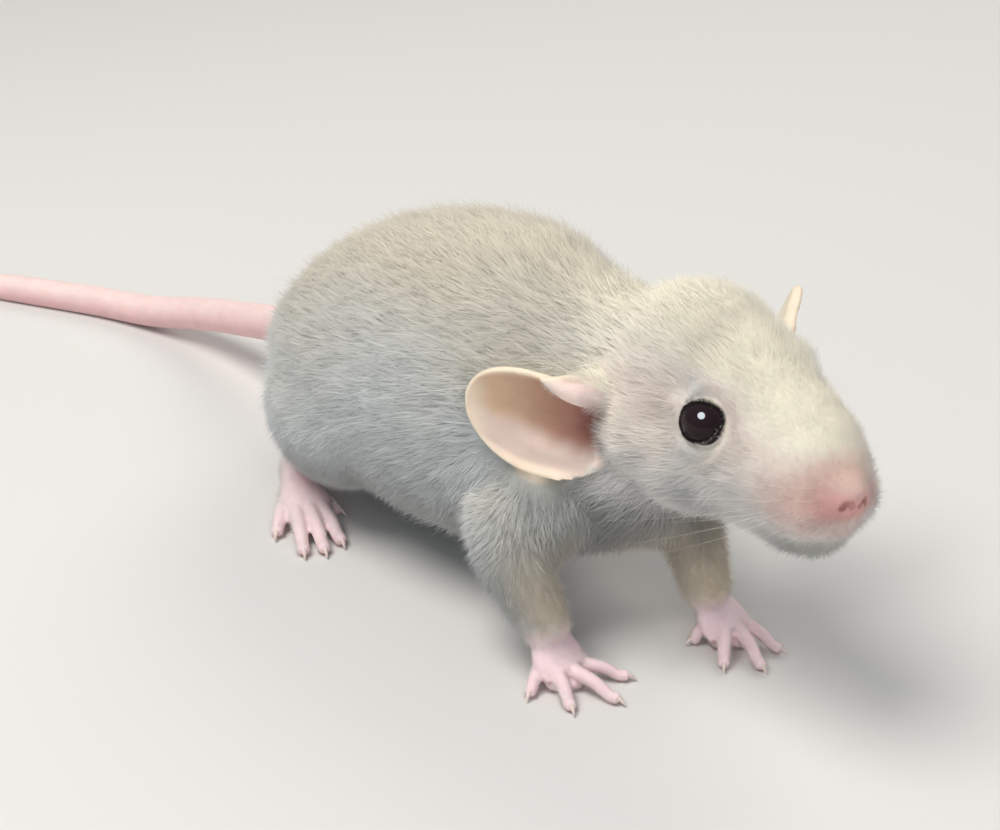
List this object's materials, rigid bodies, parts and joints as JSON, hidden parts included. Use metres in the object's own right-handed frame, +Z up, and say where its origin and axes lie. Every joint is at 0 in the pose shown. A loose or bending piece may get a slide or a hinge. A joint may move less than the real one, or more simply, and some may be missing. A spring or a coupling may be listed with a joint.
{
  "type": "pet rat",
  "caption": "Young pet rat with large low-set ears, pale short coat and bare tail, a still life-size model standing on all fours with its head raised.",
  "frame": {"origin": "on the floor under the centre of the whole animal's box, tail included", "axes": "+X towards the head, +Y to the rat's left, +Z up from the floor"},
  "size_m": [0.23, 0.0712, 0.0526],
  "materials": {
    "coat": "soft short matte fur",
    "bare_skin": "pink satin skin",
    "ear_skin": "thin velvety skin",
    "eye": "wet gloss"
  },
  "bodies": {
    "root": {"torso": "coat", "neck": "coat", "head": "coat", "foreleg_right": "coat", "foreleg_left": "coat", "hindleg_right": "coat", "hindleg_left": "coat", "forefoot_right": "bare_skin", "forefoot_left": "bare_skin", "hindfoot_right": "bare_skin", "hindfoot_left": "bare_skin", "tail_base": "bare_skin", "tail_middle": "bare_skin", "tail_tip": "bare_skin", "ear_right": "ear_skin", "ear_left": "ear_skin", "eye_right": "eye", "eye_left": "eye"}
  },
  "joints": []
}
